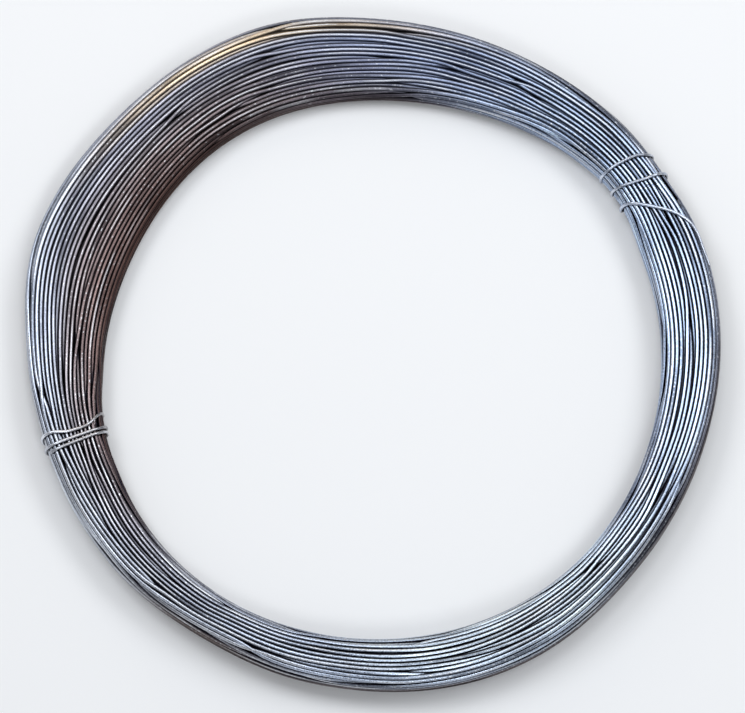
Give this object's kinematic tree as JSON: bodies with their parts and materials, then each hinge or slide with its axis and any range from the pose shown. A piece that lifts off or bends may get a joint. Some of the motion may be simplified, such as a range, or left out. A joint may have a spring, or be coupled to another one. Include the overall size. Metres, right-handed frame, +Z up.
{
  "type": "coil of metal wire",
  "caption": "Coil of bright steel wire as it is sold: a round bundle of side-by-side turns, fanned out on one side and bound in two places.",
  "frame": {"origin": "on the floor under the centre of the coil's outermost turn", "axes": "+Z up along the coil's axis, -Y towards the picture's bottom edge, +X to the picture's right"},
  "size_m": [0.4099, 0.41, 0.027],
  "materials": {
    "wire": "bright drawn wire with a thin zinc coat, silver-grey with dark gaps between the turns",
    "tie_wire": "a thinner wire of the same kind, a little brighter where it is bent over the bundle"
  },
  "bodies": {
    "root": {"coil": "wire", "tie_right": "tie_wire", "tie_left": "tie_wire"}
  },
  "joints": []
}
